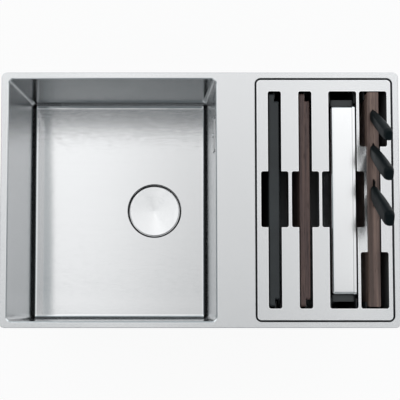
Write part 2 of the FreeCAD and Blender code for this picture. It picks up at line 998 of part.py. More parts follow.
def overflow_seal():
    x = bowl_right + sheet
    plate = wall_plate(faceplate_length, faceplate_height, faceplate_corner, overflow_seal_thickness, x)
    return on_right_wall(plate.cut(overflow_opening()))


def overflow_elbow():
    """The moulded chamber behind the wall, with a spigot that points down."""
    face = bowl_right + sheet + overflow_seal_thickness
    back = face + elbow_flange + elbow_reach
    level = deck_top - overflow_drop
    chamber_length = overflow_hole_length + 2 * elbow_wall
    chamber_height = overflow_hole_height + 2 * elbow_wall
    flange = wall_plate(faceplate_length, faceplate_height, faceplate_corner, elbow_flange, face)
    chamber = wall_plate(chamber_length, chamber_height, elbow_corner, back - face, face)
    foot = level - chamber_height / 2 - spigot_length
    spigot = cylinder(spigot_x(), overflow_y, foot, level, spigot_radius)
    hollow = wall_plate(
        overflow_hole_length,
        overflow_hole_height,
        elbow_corner - elbow_wall,
        back - elbow_wall - face + overrun,
        face - overrun,
    )
    bore = cylinder(spigot_x(), overflow_y, foot - overrun, level, spigot_bore)
    boss = overflow_rod(back - elbow_wall - elbow_boss_length, back - elbow_wall, elbow_boss_radius)
    screw_hole = overflow_rod(face, back - elbow_wall, overflow_screw_radius + overflow_screw_play)
    body = flange.fuse([chamber, spigot]).cut([hollow, bore])
    return on_right_wall(body.fuse(boss).cut(screw_hole).removeSplitter())


def overflow_pipe():
    """The rigid pipe from the overflow down to the waste's side inlet."""
    head = spigot_foot()
    corner = pipe_corner()
    inlet = V(waste_x, waste_y, inlet_level())
    down = (corner - head).normalize()
    towards = (inlet - corner).normalize()
    half_turn = down.getAngle(towards) / 2
    tangent = pipe_bend_radius * math.tan(half_turn)
    bend_start = corner - down * tangent
    bend_end = corner + towards * tangent
    inward = (towards - down).normalize()
    bend_middle = corner + inward * (pipe_bend_radius / math.cos(half_turn) - pipe_bend_radius)
    foot = inlet - towards * (waste_cup_radius + inlet_reach)
    path = Part.Wire(
        [
            Part.LineSegment(head, bend_start).toShape(),
            Part.Arc(bend_start, bend_middle, bend_end).toShape(),
            Part.LineSegment(bend_end, foot).toShape(),
        ]
    )
    tubes = []
    for radius in (spigot_radius, spigot_bore):
        section = Part.Wire(Part.makeCircle(radius, head, down))
        tubes.append(path.makePipeShell([section], True, False))
    return tubes[0].cut(tubes[1])


# Waste of the compartment
def accessory_waste():
    """A flanged, threaded outlet with a fixed grid."""
    under = compartment_floor + small_seal
    top = under + small_flange_height
    shoulder = top - small_thread_length
    foot = shoulder - small_tail_length
    neck = small_bore - small_tail_bore
    body = revolved(
        [
            (small_tail_bore, foot),
            (small_tail_radius, foot),
            (small_tail_radius, shoulder),
            (small_thread_radius, shoulder),
            (small_thread_radius, under),
            (small_flange_radius, under),
            (small_flange_radius, top),
            (small_bore, top),
            (small_bore, shoulder + 2 * neck),
            (small_tail_bore, shoulder + neck),
        ],
        compartment_x,
        0,
    )
    reach = small_bore + (small_thread_radius - small_bore) / 2
    bar = box(
        compartment_x - reach,
        compartment_x + reach,
        -grid_bar / 2,
        grid_bar / 2,
        top - grid_bar_height,
        top - small_flange_height / 2,
    )
    bars = []
    for i in range(grid_bar_count):
        copy = bar.copy()
        copy.rotate(V(compartment_x, 0, 0), Z_AXIS, 180.0 * i / grid_bar_count)
        bars.append(copy)
    return body.fuse(bars).removeSplitter()


def small_ring(inner, outer, z0, z1):
    profile = [(inner, z0), (outer, z0), (outer, z1), (inner, z1)]
    return revolved(profile, compartment_x, 0)


def accessory_waste_seal():
    return small_ring(
        small_hole_radius, small_flange_radius, compartment_floor, compartment_floor + small_seal
    )


def accessory_waste_washer():
    top = compartment_floor - sheet
    return small_ring(small_thread_radius + thread_play, small_washer_radius, top - small_washer, top)


def accessory_waste_nut():
    top = compartment_floor - sheet - small_washer
    corner = small_nut_across_flats / math.sqrt(3)
    points = []
    for i in range(7):
        angle = math.radians(60 * i)
        points.append(
            V(compartment_x + corner * math.cos(angle), corner * math.sin(angle), top - small_nut_height)
        )
    nut = Part.Face(Part.makePolygon(points)).extrude(V(0, 0, small_nut_height))
    bore = cylinder(
        compartment_x, 0, top - small_nut_height - overrun, top + overrun, small_thread_radius + thread_play
    )
    return nut.cut(bore)


# Organizer
def slot_table():
    """Each slot's centre line, its width and the middles of its finger windows."""
    end_window = (slot_length - window_length) / 2
    return [
        (slot_black, board_slot_width, [0]),
        (slot_wood, board_slot_width, [0]),
        (slot_colander, colander_slot_width, [0]),
        (slot_block, block_slot_width, [-end_window, end_window]),
    ]


def accessory_panel():
    """The steel panel, flush with the deck, with a turned-down edge."""
    x0 = recess_left + panel_gap
    x1 = recess_right - panel_gap
    y1 = recess_back - panel_gap
    blank = rounded_block(x0, x1, -y1, y1, panel_corner_radius, flange_face, deck_top)
    blank = blank.makeFillet(panel_edge_radius, edges_at(blank, deck_top))
    hollow = rounded_block(
        x0 + panel_sheet,
        x1 - panel_sheet,
        -y1 + panel_sheet,
        y1 - panel_sheet,
        panel_corner_radius - panel_sheet,
        flange_face - overrun,
        deck_top - panel_sheet,
    )
    cuts = [hollow]
    for x, width, windows in slot_table():
        half = width / 2
        cuts.append(
            rounded_block(
                x - half,
                x + half,
                -slot_length / 2,
                slot_length / 2,
                slot_corner,
                flange_face - overrun,
                deck_top + overrun,
            )
        )
        for y in windows:
            cuts.append(
                rounded_block(
                    x - half - window_reach,
                    x + half + window_reach,
                    y - window_length / 2,
                    y + window_length / 2,
                    slot_corner,
                    flange_face - overrun,
                    deck_top + overrun,
                )
            )
    return blank.cut(cuts).removeSplitter()


def organizer_tub():
    """The moulded tub that hangs in the compartment by its flange."""
    floor = tub_inside - tub_floor
    outside = rounded_block(
        tub_left, tub_right, -tub_back, tub_back, tub_corner_radius, floor, flange_face
    )
    flange = rounded_block(
        recess_left + panel_gap,
        recess_right - panel_gap,
        -recess_back + panel_gap,
        recess_back - panel_gap,
        panel_corner_radius,
        flange_under,
        flange_face,
    )
    inside = rounded_block(
        tub_left + tub_wall,
        tub_right - tub_wall,
        -tub_back + tub_wall,
        tub_back - tub_wall,
        tub_corner_radius - tub_wall,
        tub_inside,
        flange_face + overrun,
    )
    slot = obround(drain_slot_length, drain_slot_width, tub_floor + 2 * overrun)
    x_pitch = (tub_right - tub_left) / drain_slot_rows
    y_pitch = 2 * tub_back / drain_slot_columns
    slots = []
    for x in spread(drain_slot_rows, x_pitch):
        for y in spread(drain_slot_columns, y_pitch):
            slots.append(placed(slot, compartment_x + x, y, floor - overrun))
    return outside.fuse(flange).cut([inside] + slots).removeSplitter()


def guide_comb(side):
    """Upright ribs at one end of the tub that hold each piece by its end. side is 1 or -1."""
    top = deck_top - comb_drop
    corner = tub_corner_radius - tub_wall
    wall = tub_back - tub_wall
    back = box(
        tub_left + tub_wall + corner,
        tub_right - tub_wall - corner,
        comb_face,
        wall,
        tub_inside,
        top,
    )
    ribs = []
    tongue = slot_black + board_offset - board_thickness / 2
    wood_tongue = slot_wood + board_offset - board_thickness / 2
    grip = slot_colander + pan_offset - handle_grip_width / 2
    block = slot_block + block_offset - block_thickness / 2
    held = [
        (tongue, board_tongue, board_rib_reach),
        (wood_tongue, board_tongue, board_rib_reach),
        (grip, handle_grip_width, colander_rib_reach),
        (block, block_thickness, block_rib_reach),
    ]
    for left, width, reach in held:
        for x0 in (left - guide_gap - comb_rib, left + width + guide_gap):
            ribs.append(box(x0, x0 + comb_rib, comb_face - reach + comb_back, comb_face, tub_inside, top))
    comb = back.fuse(ribs).removeSplitter()
    if side < 0:
        comb.rotate(V(0, 0, 0), Z_AXIS, 180)
        comb = comb.mirror(V(0, 0, 0), X_AXIS)
    return comb


# Boards
def board(slot_x):
    """A board on edge: a full-length layer on its left and a shorter one on its right."""
    left = slot_x + board_offset - board_thickness / 2
    bottom = tub_inside + lift_gap
    top = deck_top - board_top

    def layer(x0, x1, length):
        face = rounded_rect(bottom, top, -length / 2, length / 2, board_corner, 0)
        solid = face.extrude(V(0, 0, x1 - x0))
        solid.rotate(V(0, 0, 0), Y_AXIS, -90)
        return placed(solid, x1, 0, 0)

    full = layer(left, left + board_tongue, board_length)
    short = layer(left + board_tongue, left + board_thickness, board_length - 2 * board_step)
    solid = full.fuse(short).removeSplitter()
    faces = (left, left + board_thickness)
    slack = board_edge / 100
    rims = []
    for edge in solid.Edges:
        bounds = edge.BoundBox
        flat = bounds.XLength < slack
        if flat and min(abs(bounds.XMin - x) for x in faces) < slack:
            rims.append(edge)
    return solid.makeChamfer(board_edge, rims)


# Colander
def pan_left():
    return slot_colander + pan_offset - pan_depth / 2


def colander_pan():
    """A pressed pan on edge: its floor faces left, its open side right."""
    bottom = tub_inside + lift_gap
    top = deck_top - pan_top
    half = pan_length / 2
    left = pan_left()
    right = left + pan_depth

    def slab(x0, x1, grow, corner):
        face = rounded_rect(bottom - grow, top + grow, -half - grow, half + grow, corner, 0)
        solid = face.extrude(V(0, 0, x1 - x0))
        solid.rotate(V(0, 0, 0), Y_AXIS, -90)
        return placed(solid, x1, 0, 0)

    inset = pan_rim_proud
    body = slab(left, right, -inset, pan_corner)
    foot = [e for e in body.Edges if e.BoundBox.XMax < left + pan_sheet / 2]
    body = body.makeFillet(pan_corner, foot)
    rim = slab(right - pan_rim, right, 0, pan_corner)
    hollow = slab(left + pan_sheet, right + overrun, -inset - pan_sheet, pan_corner - pan_sheet)
    foot = [e for e in hollow.Edges if e.BoundBox.XMax < left + pan_sheet + pan_sheet / 2]
    hollow = hollow.makeFillet(pan_corner - pan_sheet, foot)
    slot = obround(pan_slot_length, pan_slot_width, pan_sheet + 2 * overrun)
    slot.rotate(V(0, 0, 0), Y_AXIS, 90)
    middle = (bottom + top) / 2
    slots = []
    for z in spread(pan_slot_rows, pan_slot_row_pitch):
        for y in spread(pan_slot_columns, pan_slot_column_pitch):
            slots.append(placed(slot, left - overrun, y, middle + z))
    pan = body.fuse(rim).cut([hollow] + slots).removeSplitter()
    holes = []
    for z in rivet_levels():
        holes.append(
            Part.makeCylinder(
                handle_rivet_radius, 2 * half + 2 * overrun, V(grip_x(), -half - overrun, z), Y_AXIS
            )
        )
    return pan.cut(holes)


def grip_x():
    return slot_colander + pan_offset


def grip_top():
    return deck_top - pan_top - handle_plate_drop


def rivet_levels():
    middle = grip_top() - handle_grip_height / 2
    return [middle + s for s in spread(2, handle_rivet_spread)]


def pan_end():
    return pan_length / 2 - pan_rim_proud


def colander_handle(side):
    """A moulded grip riveted to one end of the pan. side is 1 or -1."""
    top = grip_top()
    half = handle_grip_width / 2
    start = pan_end()
    stop = pan_length / 2 + handle_reach
    plate = rounded_block(
        grip_x() - half,
        grip_x() + half,
        top - handle_grip_height,
        top,
        handle_grip_corner,
        0,
        stop - start,
    )
    pocket = rounded_block(
        grip_x() - half + handle_grip_lip,
        grip_x() + half - handle_grip_lip,
        top - handle_grip_height + handle_grip_lip,
        top - handle_grip_lip,
        handle_grip_corner - handle_grip_lip,
        handle_grip_lip,
        stop - start + overrun,
    )
    grip = plate.cut(pocket)
    grip.rotate(V(0, 0, 0), X_AXIS, 90)
    grip.translate(V(0, stop, 0))
    grip = grip.mirror(V(0, (start + stop) / 2, 0), Y_AXIS)
    rim_relief = box(
        pan_left() + pan_depth - pan_rim - lift_gap,
        grip_x() + half + overrun,
        start - overrun,
        pan_length / 2 + lift_gap,
        top - handle_grip_height - overrun,
        top + overrun,
    )
    holes = [rim_relief]
    for z in rivet_levels():
        holes.append(
            Part.makeCylinder(
                handle_rivet_radius, stop - start + 2 * overrun, V(grip_x(), start - overrun, z), Y_AXIS
            )
        )
    grip = grip.cut(holes)
    return grip if side > 0 else grip.mirror(V(0, 0, 0), Y_AXIS)


def colander_rivets():
    """Rivets through each end wall and its grip."""
    inner = pan_end() - pan_sheet
    outer = pan_end() + handle_grip_lip
    rivets = []
    for z in rivet_levels():
        at = V(grip_x(), inner - handle_rivet_head_height, z)
        shank = Part.makeCylinder(
            handle_rivet_radius, outer - inner + 2 * handle_rivet_head_height, at, Y_AXIS
        )
        inside = Part.makeCylinder(handle_rivet_head, handle_rivet_head_height, at, Y_AXIS)
        outside = Part.makeCylinder(
            handle_rivet_head, handle_rivet_head_height, V(grip_x(), outer, z), Y_AXIS
        )
        rivet = shank.fuse([inside, outside]).removeSplitter()
        rivets.append(rivet)
        rivets.append(rivet.mirror(V(0, 0, 0), Y_AXIS))
    return Part.makeCompound(rivets)


# Knife block
def block_x():
    return slot_block + block_offset


def block_top():
    return deck_top + block_rise


def knife_slots():
    """Cutters for the three blade slots."""
    return [
        blade_slot(paring_station, paring_blade_length, paring_blade_width),
        blade_slot(utility_station, utility_blade_length, utility_blade_width),
        blade_slot(chef_station, chef_blade_length, chef_blade_width),
    ]


def knife_block_half(side):
    """One of the two wooden slabs that are glued together over the slots. side is 1 or -1."""
    bottom = tub_inside + lift_gap + block_foot_height
    half = block_length / 2
    middle = block_x()
    outer = middle + side * block_thickness / 2
    slab = box(min(middle, outer), max(middle, outer), -half, half, bottom, block_top())
    slack = block_edge / 100
    rims = []
    for edge in slab.Edges:
        bounds = edge.BoundBox
        if bounds.XLength < slack and abs(bounds.XMin - outer) < slack:
            rims.append(edge)
    return slab.makeFillet(block_edge, rims).cut(knife_slots())


def knife_block_feet():
    """Rubber feet under the block."""
    bottom = tub_inside + lift_gap
    reach = block_length / 2 - block_foot_inset
    feet = []
    for y in (-reach, 0, reach):
        feet.append(cylinder(block_x(), y, bottom, bottom + block_foot_height, block_foot_radius))
    return Part.makeCompound(feet)


# Knives. Each is drawn upright, with its blade down and its edge towards -Y, then leant.
def leant(shape, station):
    copy = shape.copy()
    copy.rotate(V(0, 0, 0), X_AXIS, knife_lean)
    copy.translate(V(block_x(), station, block_top()))
    return copy


def blade_slot(station, length, width):
    half = blade_thickness / 2 + slot_play
    reach = width / 2 + slot_play
    return leant(
        box(-half, half, -reach, reach, -length - slot_end_play, width + overrun), station
    )


def knife_blade(station, length, width):
    """A blade with a wedge section, a curved edge and a tang."""
    half = width / 2
    heel = (handle_stand_off + half * math.sin(math.radians(knife_lean))) / math.cos(
        math.radians(knife_lean)
    )
    edge_line = Part.Arc(
        V(0, -half, 0),
        V(0, -half * edge_middle_width_share, -length * edge_middle_length_share),
        V(0, half, -length),
    ).toShape()
    tang = tang_width / 2
    outline = [
        V(0, half, -length),
        V(0, half, 0),
        V(0, tang, 0),
        V(0, tang, heel + tang_length),
        V(0, -tang, heel + tang_length),
        V(0, -tang, 0),
        V(0, -half, 0),
    ]
    edges = [Part.LineSegment(a, b).toShape() for a, b in zip(outline, outline[1:])]
    face = Part.Face(Part.Wire(edges + [edge_line]))
    flat = face.extrude(V(blade_thickness, 0, 0))
    flat.translate(V(-blade_thickness / 2, 0, 0))
    spine = blade_thickness / 2
    thin = blade_edge_thickness / 2
    section = [V(-spine, half, -length), V(spine, half, -length), V(thin, -half, -length)]
    section += [V(-thin, -half, -length), V(-spine, half, -length)]
    wedge = Part.Face(Part.makePolygon(section)).extrude(V(0, 0, length))
    stub = box(-spine, spine, -tang, tang, 0, heel + tang_length)
    return leant(flat.common(wedge.fuse(stub)).removeSplitter(), station)


def knife_handle(station, blade, length, thickness, height):
    """A swelling handle with round edges, cut level where it stands over the block."""
    sections = []
    for along, back_share, belly_share, side_share in handle_section_shares:
        half = thickness / 2 * side_share
        back = height / 2 * back_share
        belly = -height / 2 * belly_share
        face = rounded_rect(-half, half, belly, back, half * handle_edge_share, length * along)
        sections.append(face.OuterWire)
    solid = leant(Part.makeLoft(sections, True, True), station)
    reach = 2 * length
    level = block_top() + handle_stand_off
    keep = box(
        block_x() - thickness, block_x() + thickness, station - reach, station + reach, level, level + reach
    )
    return solid.common(keep).cut(blade)


def export(name, shape):
    solids = shape.Solids
    bad = [s for s in solids if not s.isValid()]
    bounds = shape.BoundBox
    print(
        f"{name}: {len(solids)} solid(s), {len(bad)} bad, {shape.Volume:.0f} mm3, "
        f"{bounds.XLength:.1f} x {bounds.YLength:.1f} x {bounds.ZLength:.1f}"
    )
    out = solids[0] if len(solids) == 1 else Part.makeCompound(solids)
    out.exportStep(f"parts/{name}.step")


def main():
    os.makedirs("parts", exist_ok=True)
    pieces = {
        "deck_plate": deck_plate(),
        "main_bowl": main_bowl(),
        "accessory_bowl": accessory_bowl(),
        "rim_seal": rim_seal(),
        "sound_pads": sound_pads(),
        "spring_clips": spring_clips(),
        "clip_rivets": clip_rivets(),
        "ledge_gasket": ledge_gasket(),
        "strainer_upper_seal": strainer_upper_seal(),
        "strainer_flange": strainer_flange(),
        "strainer_lower_seal": strainer_lower_seal(),
        "waste_body": waste_body(),
        "waste_outlet": waste_outlet(),
        "waste_clamp_screw": waste_clamp_screw(),
        "overflow_faceplate": overflow_faceplate(),
        "overflow_screw": overflow_screw(),
        "overflow_seal": overflow_seal(),
        "overflow_elbow": overflow_elbow(),
        "overflow_pipe": overflow_pipe(),
        "accessory_waste": accessory_waste(),
        "accessory_waste_seal": accessory_waste_seal(),
        "accessory_waste_washer": accessory_waste_washer(),
        "accessory_waste_nut": accessory_waste_nut(),
        "strainer_basket": strainer_basket(),
        "basket_knob": basket_knob(),
        "basket_stopper": basket_stopper(),
        "drain_cover": drain_cover(),
        "accessory_panel": accessory_panel(),
        "organizer_tub": organizer_tub(),
        "guide_comb_rear": guide_comb(1),
        "guide_comb_front": guide_comb(-1),
        "black_board": board(slot_black),
        "wood_board": board(slot_wood),
        "colander_pan": colander_pan(),
        "colander_handle_rear": colander_handle(1),
        "colander_handle_front": colander_handle(-1),
        "colander_rivets": colander_rivets(),
        "knife_block_left_half": knife_block_half(-1),
        "knife_block_right_half": knife_block_half(1),
        "knife_block_feet": knife_block_feet(),
    }
    knives = {
        "paring_knife": (
            paring_station,
            paring_blade_length,
            paring_blade_width,
            paring_handle_length,
            paring_handle_thickness,
            paring_handle_height,
        ),
        "utility_knife": (
            utility_station,
            utility_blade_length,
            utility_blade_width,
            utility_handle_length,
            utility_handle_thickness,
            utility_handle_height,
        ),
        "chef_knife": (
            chef_station,
            chef_blade_length,
            chef_blade_width,
            chef_handle_length,
            chef_handle_thickness,
            chef_handle_height,
        ),
    }
    for name, (station, blade_length, blade_width, length, thickness, height) in knives.items():
        blade = knife_blade(station, blade_length, blade_width)
        pieces[f"{name}_blade"] = blade
        pieces[f"{name}_handle"] = knife_handle(station, blade, length, thickness, height)
    for name, shape in pieces.items():
        export(name, shape)


main()
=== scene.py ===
# %% [markdown]
# # A stainless steel sink with a slotted accessory panel
# Seen from above, nearly everything on this sink is steel that reflects other steel or the lights over
# it. The solids come in at their true size, in metres, with the origin in the middle of the deck at
# worktop level: +X runs to the stored boards and knives, +Y to the back and +Z up. What is left for
# this file is the finish of every piece, the soft edges of the knife handles, the studio that the sink
# stands in and the camera.

# %% Load the solids
import math

import bpy
from mathutils import Matrix, Vector


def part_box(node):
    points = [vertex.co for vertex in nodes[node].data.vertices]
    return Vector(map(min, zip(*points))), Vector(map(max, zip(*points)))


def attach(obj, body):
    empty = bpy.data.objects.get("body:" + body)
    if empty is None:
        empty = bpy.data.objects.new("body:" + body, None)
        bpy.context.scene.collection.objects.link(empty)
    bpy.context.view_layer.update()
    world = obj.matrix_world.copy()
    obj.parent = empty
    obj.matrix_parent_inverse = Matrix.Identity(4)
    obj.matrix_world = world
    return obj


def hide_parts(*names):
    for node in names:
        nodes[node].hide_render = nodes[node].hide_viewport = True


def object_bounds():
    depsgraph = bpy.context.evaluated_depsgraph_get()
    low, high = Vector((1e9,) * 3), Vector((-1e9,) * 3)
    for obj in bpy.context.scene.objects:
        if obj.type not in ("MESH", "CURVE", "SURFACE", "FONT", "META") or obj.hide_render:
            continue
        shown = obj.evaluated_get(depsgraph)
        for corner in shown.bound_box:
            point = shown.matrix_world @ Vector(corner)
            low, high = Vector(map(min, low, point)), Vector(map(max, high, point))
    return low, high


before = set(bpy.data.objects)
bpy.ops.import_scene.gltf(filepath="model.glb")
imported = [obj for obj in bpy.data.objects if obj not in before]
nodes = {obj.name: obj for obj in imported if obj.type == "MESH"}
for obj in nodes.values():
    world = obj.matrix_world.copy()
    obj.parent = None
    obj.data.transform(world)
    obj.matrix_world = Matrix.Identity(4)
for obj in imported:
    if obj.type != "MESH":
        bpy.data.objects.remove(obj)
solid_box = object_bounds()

print("pieces:", len(nodes), "box:", [tuple(round(v, 3) for v in corner) for corner in solid_box])

# %% [markdown]
# ## Writing shaders as sums
# A brushed finish is mostly arithmetic: noise that is stretched, shifted and added up. Such sums could
# be clicked together node by node, but that is slow to make and hard to read later. So one small class
# wraps a socket and lets Python's own operators add the nodes. Values go through Math, vectors through
# Vector Math and colours through Mix, because a Math node would turn a colour grey.

# %% A socket that can be calculated with
class Wire:
    """One output socket of a node tree. Sums written with it become nodes in that tree."""

    def __init__(self, socket):
        self.socket = socket
        self.tree = socket.id_data

    @classmethod
    def node(cls, tree, kind, settings=None, sockets=None, output=0):
        """Adds any node: its settings are set first, then its sockets get values or links."""
        made = tree.nodes.new(kind)
        for name, value in (settings or {}).items():
            if name == "stops":
                ramp = made.color_ramp.elements
                while len(ramp) < len(value):
                    ramp.new(1)
                for element, (position, color) in zip(ramp, value):
                    element.position = position
                    element.color = (*color, 1)
            else:
                setattr(made, name, value)
        for name, value in (sockets or {}).items():
            if isinstance(value, Wire):
                tree.links.new(value.socket, made.inputs[name])
            elif made.inputs[name].type == "RGBA" and len(value) == 3:
                made.inputs[name].default_value = (*value, 1)
            else:
                made.inputs[name].default_value = value
        return cls(made.outputs[output]) if made.outputs else None

    def maths(self, operation, *values):
        """A Math node, or a Vector Math node where the socket carries a vector."""
        kind = "ShaderNodeVectorMath" if self.socket.type == "VECTOR" else "ShaderNodeMath"
        sockets = dict(enumerate(values))
        return Wire.node(self.tree, kind, {"operation": operation}, sockets)

    def __add__(self, other):
        return self.maths("ADD", self, other)

    __radd__ = __add__

    def __mul__(self, other):
        return self.maths("MULTIPLY", self, other)

    __rmul__ = __mul__

    def __sub__(self, other):
        return self.maths("SUBTRACT", self, other)

    def __rsub__(self, other):
        return self.maths("SUBTRACT", other, self)

    def __truediv__(self, other):
        return self.maths("DIVIDE", self, other)


print("a wire can be added, taken away, multiplied and divided")


# %% Steps, mixes and noise
noise_middle = 0.5


def between(wire, low, high, first=0.0, last=1.0):
    """first below low, last above high, and a smooth step from one to the other."""
    sockets = {"Value": wire, "From Min": low, "From Max": high, "To Min": first, "To Max": last}
    return Wire.node(wire.tree, "ShaderNodeMapRange", {"interpolation_type": "SMOOTHSTEP"}, sockets)


def fading(wire, low, high):
    """1 below low, 0 above high, and a smooth step from one to the other."""
    return between(wire, low, high, 1.0, 0.0)


def blend(share, first, second):
    """The first colour where share is 0, the second where it is 1."""
    settings = {"data_type": "RGBA"}
    factor, color_a, color_b, color_out = 0, 6, 7, 2
    sockets = {factor: share, color_a: first, color_b: second}
    return Wire.node(share.tree, "ShaderNodeMix", settings, sockets, color_out)


def noise(place, scale=1.0, detail=2.0, roughness=0.5, distortion=0.0):
    """Soft noise from 0 to 1, its blobs about 1 / scale of a metre across."""
    sockets = {"Vector": place, "Scale": scale, "Detail": detail}
    sockets.update({"Roughness": roughness, "Distortion": distortion})
    return Wire.node(place.tree, "ShaderNodeTexNoise", {}, sockets)


def part_of(vector, axis):
    """The X, Y or Z of a vector."""
    return Wire.node(vector.tree, "ShaderNodeSeparateXYZ", {}, {"Vector": vector}, axis)


def measure(operation, *vectors):
    """A number got from vectors: LENGTH or DOT_PRODUCT."""
    settings = {"operation": operation}
    return Wire.node(vectors[0].tree, "ShaderNodeVectorMath", settings, dict(enumerate(vectors)), "Value")


def shaded(color, share, lift=0.0):
    """A colour times a share, plus a little grey."""
    return tuple(c * share + lift for c in color)


print("steps, mixes and noise ready")

# %% [markdown]
# ## A material and its surface
# Each finish starts from the place of a point on its piece, in metres, and ends in one Principled
# surface. The place could come from an unwrapped map, but solids have none. Because the pieces sit at
# the origin, the Object coordinate is the same as the place on the sink, and it travels with a piece
# that is lifted out.

# %% Start and end of a finish
def start(name):
    """A new material's node tree, and the place of a point on the piece."""
    material = bpy.data.materials.new(name)
    material.use_nodes = True
    tree = material.node_tree
    tree.nodes.clear()
    return material, Wire.node(tree, "ShaderNodeTexCoord", output="Object")


def bumped(height, distance=1.0, reach=0.1):
    """A Bump node's normal: distance is the relief's depth in metres, reach the part of a pixel felt."""
    sockets = {"Height": height, "Distance": distance, "Filter Width": reach}
    return Wire.node(height.tree, "ShaderNodeBump", {}, sockets)


def surface(tree, **sockets):
    """Closes a finish with a Principled surface. Underscores in a name stand for spaces."""
    named = {name.replace("_", " "): value for name, value in sockets.items()}
    shader = Wire.node(tree, "ShaderNodeBsdfPrincipled", {}, named)
    Wire.node(tree, "ShaderNodeOutputMaterial", {}, {"Surface": shader})


def finish(material, *names):
    """Gives pieces of the sink their finish."""
    for name in names:
        slots = nodes[name].material_slots
        if not slots:
            nodes[name].data.materials.append(material)
        for slot in slots:
            slot.material = material
        finished.add(name)


finished = set()
print("finishes can be made and given to", len(nodes), "pieces")

# %% [markdown]
# ## Brushed stainless steel
# Sheet for sinks is sanded along its length, which leaves long hair-thin grooves. They scatter a
# reflection mostly across the grain. Seen from more than a metre away one groove can't be made out,
# but the bundles show: streaks a few millimetres wide that are a shade lighter or duller. An
# anisotropic shader could stretch the reflections, but it needs tangents that solids don't have. So
# the finish has three layers of stretched noise: fine hairlines in the bump, bundles in the roughness
# and colour, and very large soft patches where the sheet has been wiped and handled.

# %% The brushed steels
steel_color = (0.71, 0.72, 0.73)
groove_rate, groove_reach = 5000.0, 0.0006
hairline_rates = (40.0, groove_rate, 40.0)
bundle_rates = (4.0, 150.0, 4.0)
patch_rate, patch_edges = 7.0, (0.42, 0.68)
noise_to_slope, bundle_tint = 1.6, 0.985
clean_dullness, bundle_dullness, wiped_dullness = 0.95, 0.06, 0.05


def brushed_steel(name, roughness, scatter, color, marks):
    """Steel brushed along X. scatter is the usual slope of the grooves' sides."""
    material, place = start(name)
    hairline = noise(place * hairline_rates, detail=1.0)
    bundle = noise(place * bundle_rates, roughness=0.55)
    patch = noise(place, patch_rate, detail=3.0, roughness=0.55, distortion=0.6)
    wiped = between(patch, *patch_edges)
    finish_of = {
        "height": hairline * (scatter * noise_to_slope / groove_rate),
        "color": blend(bundle, shaded(color, bundle_tint), color),
        "dullness": roughness * (clean_dullness + bundle * bundle_dullness + wiped * wiped_dullness),
    }
    for mark, size in marks:
        mark(place, finish_of, size)
    surface(
        place.tree,
        Base_Color=finish_of["color"],
        Metallic=1.0,
        Roughness=finish_of["dullness"],
        Normal=bumped(finish_of["height"], reach=groove_reach),
    )
    return material


print("steel brushed along X,", groove_rate, "grooves in a metre")

# %% [markdown]
# ## What pressing and folding add, and painted light
# A sink starts as flat sheet. Its openings are rolled down into the bowls, the bowls are drawn deep,
# and the panel's slots are cut and buffed. Each of these leaves its marks, some only a millimetre or
# two wide, which would need very fine meshes if they were modelled. Here each mark is one small
# function that changes the height, colour or dullness of the brushed finish, so that a piece takes only
# those it needs. The lighter lines along edges are painted highlights, and the dark walls, bends and
# fold line are painted shade.

# %% The rolled edge of an opening
# the lighter colour of the painted highlights along edges
painted_highlight_color = (0.95, 0.96, 0.97)


def outline_distance(place, low, high, corner):
    """How far a point is outside a rectangle with round corners, seen from above; under 0 inside."""
    centre = ((low[0] + high[0]) / 2, (low[1] + high[1]) / 2, 0.0)
    core = ((high[0] - low[0]) / 2 - corner, (high[1] - low[1]) / 2 - corner, 0.0)
    flat = (place - centre) * (1.0, 1.0, 0.0)
    past = flat.maths("ABSOLUTE", flat) - core
    beyond = measure("LENGTH", past.maths("MAXIMUM", past, (0.0, 0.0, 0.0)))
    x, y = part_of(past, "X"), part_of(past, "Y")
    within = x.maths("MINIMUM", x.maths("MAXIMUM", x, y), 0.0)
    return beyond + within - corner


def rolled_lip(place, finish_of, opening):
    """The edge round an opening, rolled down into it, with a painted highlight: a lighter colour where
    the roll starts.
    """
    lip_width, lip_slope = 0.0024, 0.50
    glint_width, glint_share = 0.0016, 0.25
    outside = outline_distance(place, *opening)
    short = lip_width - outside
    finish_of["height"] = finish_of["height"] - short.maths("MAXIMUM", short, 0.0) * lip_slope
    # painted highlight: a lighter band of colour just outside the roll
    glint = fading(outside, lip_width + glint_width / 2, lip_width + glint_width)
    finish_of["color"] = blend(glint * glint_share, finish_of["color"], painted_highlight_color)


print("rolled lip ready")

# %% Drawn bowls and their painted shade
dull_color = (0.47, 0.48, 0.49)
# black, the colour of the painted shade on the big bowl's walls and bends
painted_shade_black = (0.0, 0.0, 0.0)


def surface_normal(place):
    """The way a surface faces, without its relief."""
    return Wire.node(place.tree, "ShaderNodeNewGeometry", output="Normal")


def dull_outside(place, finish_of, middle):
    """The unpolished outside of a pressed bowl: darker and satin."""
    turn, satin = 0.002, 0.26
    outward = between(measure("DOT_PRODUCT", surface_normal(place), place - middle), -turn, turn)
    finish_of["dullness"] = finish_of["dullness"] + outward * satin
    finish_of["color"] = blend(outward, finish_of["color"], dull_color)


def bowl_painted_shade(place, finish_of, shares):
    """Walls that are duller than the floor, and painted shade: walls and the bends at their foot darkened
    towards black.
    """
    wall_share, side_share, end_share = shares
    wall_rise, wall_dullness = (0.07, 0.25), 0.13
    bend_start, bend_end, side_edges = (0.08, 0.16), (0.86, 0.97), (0.2, 0.4)
    facing = surface_normal(place)
    facing_x, facing_y, rise = (
        part.maths("ABSOLUTE", part) for part in (part_of(facing, axis) for axis in "XYZ")
    )
    walls = fading(rise, *wall_rise)
    bends = between(rise, *bend_start) * fading(rise, *bend_end)
    bend_shade = between(facing_x, *side_edges) * side_share + facing_y * end_share
    # painted shade: walls and bends are blended towards black, standing in for the dark room they reflect
    shade = walls * wall_share + bends * bend_shade
    finish_of["color"] = blend(shade, finish_of["color"], painted_shade_black)
    finish_of["dullness"] = finish_of["dullness"] + walls * wall_dullness


print("drawn bowls ready")


